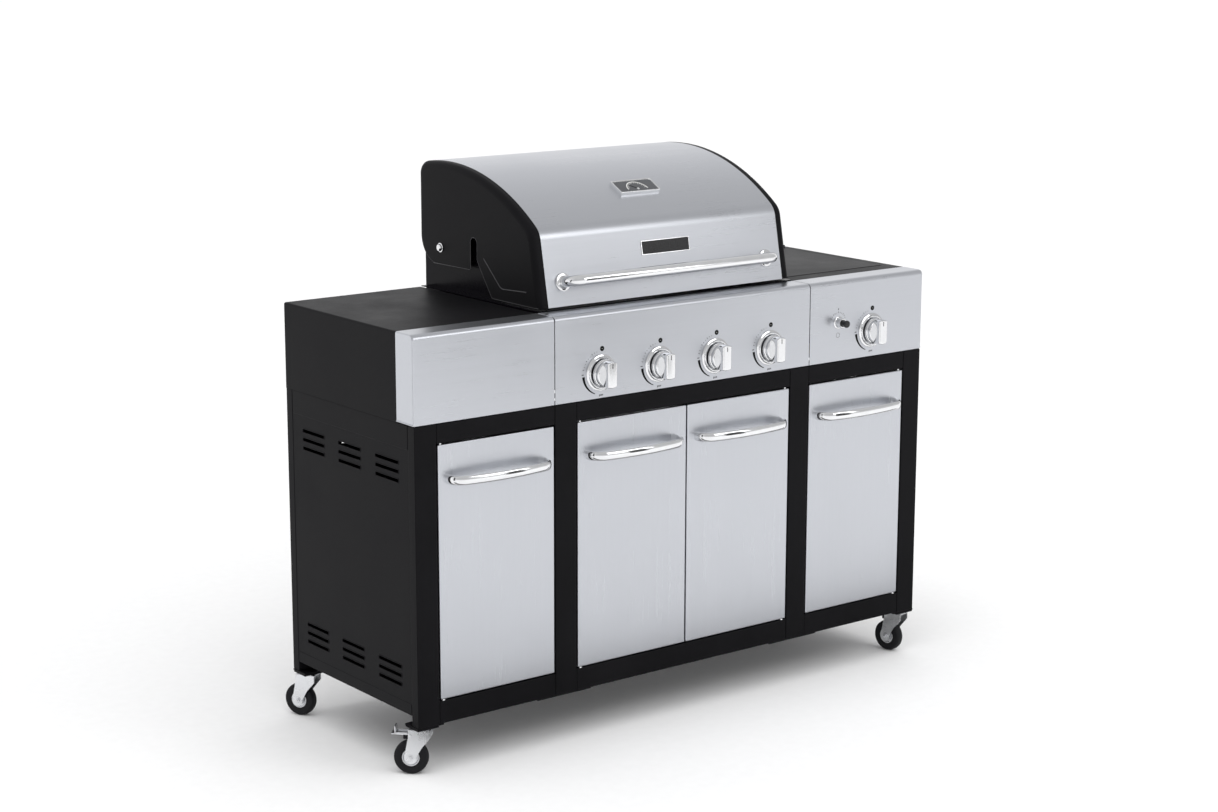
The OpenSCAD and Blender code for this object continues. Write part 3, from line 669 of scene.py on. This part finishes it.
skirt = [(4.2, -9), (29, -9), (30, -10), (30, -14.6), (29.2, -15.8), (27.6, -16.4), (27.0, -17.4), (27, -22.2),
         (26, -23.6), (24, -24.2), (4.2, -24.2)]
grip_layers = [(13, 29, -23), (13.0, 29.0, -31), (12.8, 28.8, -37), (12.3, 28.4, -40), (11.2, 27.5, -41.5),
               (9.4, 26.4, -42)]
for i, (x, z) in enumerate(KNOBS):
    body = f"knob_{i + 1}"
    knob = Piece("control_" + body, body, [body], "chrome", Matrix.Translation((x, 0, z))).use(CHROME)
    knob.lathe(skirt, steps=64)
    knob.loft([bar(*layer) for layer in grip_layers])
    knob.use(INK).box(-0.9, 0.9, -42.3, -41.4, 14.5, 25.0, 0.3, 2)
    knob.done(angle=46)

button = Piece("igniter_push", "igniter", ["igniter_button"], "black_plastic").use(PLASTIC)
plunger = [(0, 20), (6.5, 20), (7.5, 19), (7.5, -26.5), (8.4, -27.2), (8.5, -30), (7.9, -31.4), (6.2, -32),
           (0, -31.6)]
button.lathe(plunger, (IGNITER[0], 0, IGNITER[1]), "y", 40)
button.done()


# Printed marks stand this far behind and before the panel's face
INK_BACK, INK_FRONT = 0.1, -0.15


def mark_arc(piece, cx, cz, r, a0, a1, w0, w1, n=30):
    """A printed arc, as wide as w0 at its start and w1 at its end, seen from the front."""
    verts = []
    for i in range(n + 1):
        a, w = math.radians(a0 + (a1 - a0) * i / n), (w0 + (w1 - w0) * i / n) / 2
        for y in (INK_BACK, INK_FRONT):
            for k in (r - w, r + w):
                verts.append((cx + k * math.cos(a), y, cz + k * math.sin(a)))
    faces = [[i * 4 + a, i * 4 + b, i * 4 + 4 + b, i * 4 + 4 + a]
             for i in range(n) for a, b in ((0, 1), (1, 3), (3, 2), (2, 0))]
    piece.add(verts, faces + [[0, 1, 3, 2], [4 * n, 4 * n + 1, 4 * n + 3, 4 * n + 2]])


def tick(piece, cx, cz, r0, r1, a, w):
    c, s = math.cos(math.radians(a)), math.sin(math.radians(a))
    corners = ((r0, -w), (r1, -w), (r1, w), (r0, w))
    piece.prism([(cx + r * c - k * s, cz + r * s + k * c) for r, k in corners], "y", INK_BACK, INK_FRONT)


marks = Piece("panel_marks", "cabinet", slot="black_plastic").use(INK)
for x, z in KNOBS:
    marks.lathe([(0, INK_BACK), (5.6, INK_BACK), (5.6, INK_FRONT), (0, INK_FRONT)], (x + 3, 0, z + 52), "y", 28)
    mark_arc(marks, x, z, 47.5, 186, 250, 6.6, 1.6)
    for k in range(9):
        tick(marks, x, z, 46.5, 48.0 + (k % 3), 104 + 8 * k, 0.55)
    for k in range(4):
        tick(marks, x, z, 47.5, 51.0 + 1.2 * (k == 0), 265 + 3.4 * k, 0.75)
    tick(marks, x, z, 46, 52, 180, 0.8)
for k in range(11):
    tick(marks, *IGNITER, 22, 24 + (k % 3), 25 + 13 * k, 0.5)
tick(marks, *IGNITER, 29, 33, 90, 0.9)
mark_arc(marks, IGNITER[0], IGNITER[1] - 30, 5.4, 0, 360, 0.6, 0.6)
marks.use(WHITE)
for x, z in KNOBS:
    marks.box(x + 1.4, x + 4.6, -0.25, -0.1, z + 51.75, z + 52.25, 0)
marks.done()

# ---------------------------------------------------------------- doors

DOORS = [(-661, -365), (-302, -1.5), (1.5, 302), (365, 661)]
# A door handle: a flat bow of BOW_A degrees each way, with tight ends HALF apart from its middle
BOW_A, END_R, HALF = 10, 34, 126
BOW_R = END_R + (HALF - END_R) / math.sin(math.radians(BOW_A))
bow = [(HALF, 0.6)] + arc((HALF - END_R, -0.5), END_R, 0, BOW_A - 90, 18)
bow += arc((0, (BOW_R - END_R) * math.cos(math.radians(BOW_A)) - 0.5), BOW_R, BOW_A - 90, -90 - BOW_A, 40)[1:-1]
bow += arc((END_R - HALF, -0.5), END_R, -90 - BOW_A, -180, 18) + [(-HALF, 0.6)]
oval = [(5 * c, 10 * s) for c, s in arc((0, 0), 1, 0, 345, 23)]
for i, (x0, x1) in enumerate(DOORS):
    door = Piece(f"door_panel_{i + 1}", f"door_{i + 1}", [f"door_{i + 1}"], "stainless").use(STEEL_Z)
    door.box(x0, x1, 0, 13, 53, 600, 2.6, 4, skip="b")
    door.done(1.3, 30)
    place = Matrix.Translation(((x0 + x1) / 2, 0, 526))
    grip = Piece(f"door_grip_{i + 1}", f"door_{i + 1}", [f"door_handle_{i + 1}"], "chrome", place).use(CHROME)
    grip.sweep([(x, y, 0) for x, y in bow], oval, (0, 0, 1))
    grip.done(angle=40)

# ---------------------------------------------------------------- casters

# Each caster is drawn with its swivel axis at the middle and its wheel trailing towards +x, then turned
TURN = [46, 9, 28, 30]
CASTER_X, CASTER_FRONT_Y, CASTER_REAR_Y = 692, 26, 486
TRAIL, AXLE_Z, PIVOT = 24, -73, (24, -21)
AXLE, PIVOT_AT = (TRAIL, 0, AXLE_Z), (PIVOT[0], 0, PIVOT[1])
tread = [(17.5, -8.2), (19.5, -9.4), (25, -10.6), (31, -11), (34.2, -9.9), (36.2, -7.2), (37, -3.4)]
rim = [(4.1, -12), (8.4, -12), (9.2, -11.2), (9.8, -8.2), (11.4, -7.2), (15, -7.2), (16.4, -8.4), (17.2, -9.8)]
for i in range(4):
    x, y = (-CASTER_X if i % 2 == 0 else CASTER_X), (CASTER_FRONT_Y if i < 2 else CASTER_REAR_Y)
    place = Matrix.Translation((x, y, 0)) @ Matrix.Rotation(math.radians(90 + TURN[i]), 4, "Z")
    fork = Piece(f"caster_yoke_{i + 1}", f"caster_{i + 1}", [f"caster_fork_{i + 1}"], "zinc", place).use(ZINC)
    fork.box(-20, 28, -15.5, 15.5, -12.5, -9.5, 1.0)
    fork.lathe([(5.2, -7.4), (17, -7.4), (20, -8.8), (20, -9.8), (17, -11.0), (5.2, -11.0)], axis="z", steps=40)
    cheek = [(-20, -10.5), (28, -10.5)] + fillet([(28, -12), (28, -26), (TRAIL + 12.6, AXLE_Z + 4)], 16, 6)[1:-1]
    cheek += arc((TRAIL, AXLE_Z), 13, 12, -192, 22)
    cheek += fillet([(TRAIL - 12.6, AXLE_Z + 4), (-1.5, -48), (-20, -26), (-20, -12)], [30, 6], 6)[1:-1]
    for y0, y1 in ((13, 15.5), (-15.5, -13)):
        fork.prism(cheek, "y", y0, y1)
    for s in (-1, 1):
        hexagon = [(TRAIL + px, AXLE_Z + pz) for px, pz in arc((0, 0), 6.2, 0, 300, 5)]
        fork.prism(hexagon, "y", s * 15.4, s * 19.2)
        fork.lathe([(0, s * 15), (8.6, s * 15.3), (8.6, s * 16.3), (0, s * 16.3)], AXLE, "y", 28)
        fork.lathe([(0, s * 19.0), (3.4, s * 19.0), (3.4, s * 20.4), (2.6, s * 21.0), (0, s * 21.0)], AXLE, "y", 20)
    fork.lathe([(0, -13), (4, -13), (4, 13), (0, 13)], AXLE, "y", 20)
    if i < 2:
        rivet = [(0, 13), (2, 13), (3.4, 15.4), (3.4, 16.2), (2.4, 16.9), (0, 17.1)]
        for s in (-1, 1):
            fork.lathe([(r, s * h) for r, h in rivet], PIVOT_AT, "y", 20)
    bmesh.ops.triangulate(fork.bm, faces=[f for f in fork.bm.faces if len(f.verts) > 4])
    fork.done()
    hub = place @ Matrix.Translation(AXLE)
    wheel = Piece(f"caster_tyre_{i + 1}", f"wheel_{i + 1}", [f"caster_wheel_{i + 1}"], "tyre", hub).use(RUBBER)
    wheel.lathe(tread + [(r, -h) for r, h in tread[::-1]], steps=72)
    wheel.use(ZINC).lathe(rim + [(18.6, -9.6), (18.6, 9.6)] + [(r, -h) for r, h in rim[::-1]])
    wheel.done(angle=40)
    if i < 2:
        lever = Piece(f"caster_brake_{i + 1}", f"brake_{i + 1}", [f"brake_lever_{i + 1}"], "zinc", place).use(ZINC)
        lever.ribbon([(18, -21), (64.8, -21)], "y", -10.8, 10.8)
        lever.ribbon([(56.5, -21), (56.5, -9), (57.2, -4.6)], "y", -10.8, 10.8)
        lever.done(2.6, offset=0.0)
        pad = Piece(f"caster_brake_pad_{i + 1}", f"brake_{i + 1}", slot="zinc", place=place).use(ZINC)
        pad.lathe([(2.2, -11), (4.6, -11), (5, -10.4), (5, 10.4), (4.6, 11), (2.2, 11)], PIVOT_AT, "y", 28)
        for y0, y1 in ((-10.9, -9.3), (9.3, 10.9)):
            pad.box(30, 54, y0, y1, -22, -17, 0.6, 2)
        pad.use(RUBBER).box(30, 40, -8, 8, -33, -22, 1.4)
        pad.done()

# ---------------------------------------------------------------- carried-over nodes

LOOKS = {
    ENAMEL: ["firebox", "side_burner_pan"],
    MILL: ["grease_tray", "main_burners", "heat_tents"] + [f"valve_stem_{i}" for i in range(1, 6)],
    CHROME: ["warming_rack", "door_pins"],
    IRON: ["cooking_grates", "side_burner_grate"],
    BRASS: ["gas_manifold", "side_burner_head"],
    BLACK: ["inner_panels", "bottom_panels", "underside_plates"],
}
for look, names in LOOKS.items():
    for node in names:
        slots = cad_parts[node].data.materials
        for k in range(max(1, len(slots))):
            if len(slots) > k:
                slots[k] = look
            else:
                slots.append(look)

# ---------------------------------------------------------------- camera, floor and light

EYE_AT, HEADING, DOWN, ROLL, LENS = (-3339.63, -4047.44, 1716.48), -37.640, 12.046, 0.105, 71.67
cam = bpy.data.cameras.new("camera")
cam.lens, cam.sensor_width, cam.sensor_fit = LENS, 36.0, "HORIZONTAL"
cam.clip_end = 200
eye = bpy.data.objects.new("camera", cam)
turn = Matrix.Rotation(math.radians(HEADING), 4, "Z") @ Matrix.Rotation(math.radians(90 - DOWN), 4, "X")
eye.matrix_world = Matrix.Translation(at(EYE_AT)) @ turn @ Matrix.Rotation(math.radians(ROLL), 4, "Z")
scene.collection.objects.link(eye)
scene.camera = eye

paper = Look("floor_paper", (0.93, 0.93, 0.93), 0.0, 0.9, Specular_IOR_Level=0.1)
fibre = paper.noise(40.0, detail=3.0)
paper.color(fibre, (0.3, (0.92, 0.92, 0.92)), (0.7, (0.94, 0.94, 0.94)))
ground = bpy.data.meshes.new("floor")
FLOOR = 90
corners = [(x * FLOOR, y * FLOOR, 0) for x, y in ((-1, -1), (1, -1), (1, 1), (-1, 1))]
ground.from_pydata(corners, [], [(0, 1, 2, 3)])
ground.materials.append(paper.mat)
floor = bpy.data.objects.new("floor", ground)
scene.collection.objects.link(floor)

# The studio is darker in front of the grill than behind it, and darker overhead than at the horizon
world = bpy.data.worlds.new("studio")
scene.world = world
world.use_nodes = True
sky = world.node_tree
coords = sky.nodes.new("ShaderNodeTexCoord")
split = sky.nodes.new("ShaderNodeSeparateXYZ")
sky.links.new(coords.outputs["Generated"], split.inputs[0])
level = sky.nodes.new("ShaderNodeMapRange")
level.inputs["From Min"].default_value = -1
sky.links.new(split.outputs["Z"], level.inputs["Value"])
facing = sky.nodes.new("ShaderNodeVectorMath")
facing.operation = "DOT_PRODUCT"
facing.inputs[1].default_value = (0.25, -0.97, 0)
sky.links.new(coords.outputs["Generated"], facing.inputs[0])
side = sky.nodes.new("ShaderNodeMapRange")
side.inputs["From Min"].default_value, side.inputs["From Max"].default_value = -0.3, 0.3
sky.links.new(facing.outputs["Value"], side.inputs["Value"])


def sky_ramp(*stops):
    """The brightness from straight down (0) over the horizon (0.5) to straight up (1)."""
    ramp = sky.nodes.new("ShaderNodeValToRGB")
    marks = ramp.color_ramp.elements
    marks[0].position, marks[0].color = stops[0][0], (*[stops[0][1]] * 3, 1)
    marks[1].position, marks[1].color = stops[-1][0], (*[stops[-1][1]] * 3, 1)
    for position, value in stops[1:-1]:
        marks.new(position).color = (value, value, value * 1.01, 1)
    sky.links.new(level.outputs[0], ramp.inputs[0])
    return ramp.outputs[0]


blend = sky.nodes.new("ShaderNodeMix")
blend.data_type = "RGBA"
sky.links.new(side.outputs[0], blend.inputs["Factor"])
sky.links.new(sky_ramp((0.0, 0.9), (0.5, 1.05), (0.66, 1.0), (0.84, 0.75), (1.0, 0.6)), blend.inputs[6])
sky.links.new(sky_ramp((0.0, 0.9), (0.5, 0.66), (0.66, 0.52), (0.84, 0.6), (1.0, 0.6)), blend.inputs[7])
sky.links.new(blend.outputs[2], sky.nodes["Background"].inputs["Color"])
sky.nodes["Background"].inputs["Strength"].default_value = 1.0


def lamp(name, kind, energy, position, aim, size=1.0, glossy=True):
    data = bpy.data.lights.new(name, kind)
    data.energy = energy
    if kind == "AREA":
        data.shape, data.size = "SQUARE", size
    else:
        data.angle = size
    obj = bpy.data.objects.new(name, data)
    obj.location = position
    obj.rotation_euler = (Vector(aim) - Vector(position)).to_track_quat("-Z", "Y").to_euler()
    obj.visible_glossy = glossy
    scene.collection.objects.link(obj)


lamp("soft_sky", "SUN", 1.5, (-1, -2, 6), (0, 0, 0), math.radians(70), False)
lamp("soft_key", "AREA", 26, (1.6, -3.4, 2.4), (0, 0, 0.8), 2.0)


def flag(name, corners):
    """A dark card that only reflections see, as photographers set beside polished metal."""
    me = bpy.data.meshes.new(name)
    me.from_pydata(corners, [], [(0, 1, 2, 3)])
    me.materials.append(CARD)
    obj = bpy.data.objects.new(name, me)
    obj.visible_camera = obj.visible_diffuse = obj.visible_shadow = obj.visible_transmission = False
    scene.collection.objects.link(obj)


flag("card_front", [(-1.6, -0.60, 0.004), (1.6, -0.60, 0.004), (1.6, -0.36, 0.004), (-1.6, -0.36, 0.004)])
flag("card_left", [(-3.4, -1.3, 0.1), (-3.1, -0.7, 0.1), (-3.1, -0.7, 2.6), (-3.4, -1.3, 2.6)])
flag("card_right", [(1.6, -3.6, 0.1), (2.2, -3.2, 0.1), (2.2, -3.2, 2.6), (1.6, -3.6, 2.6)])
scene.view_settings.view_transform = "Standard"
scene.view_settings.look = "None"
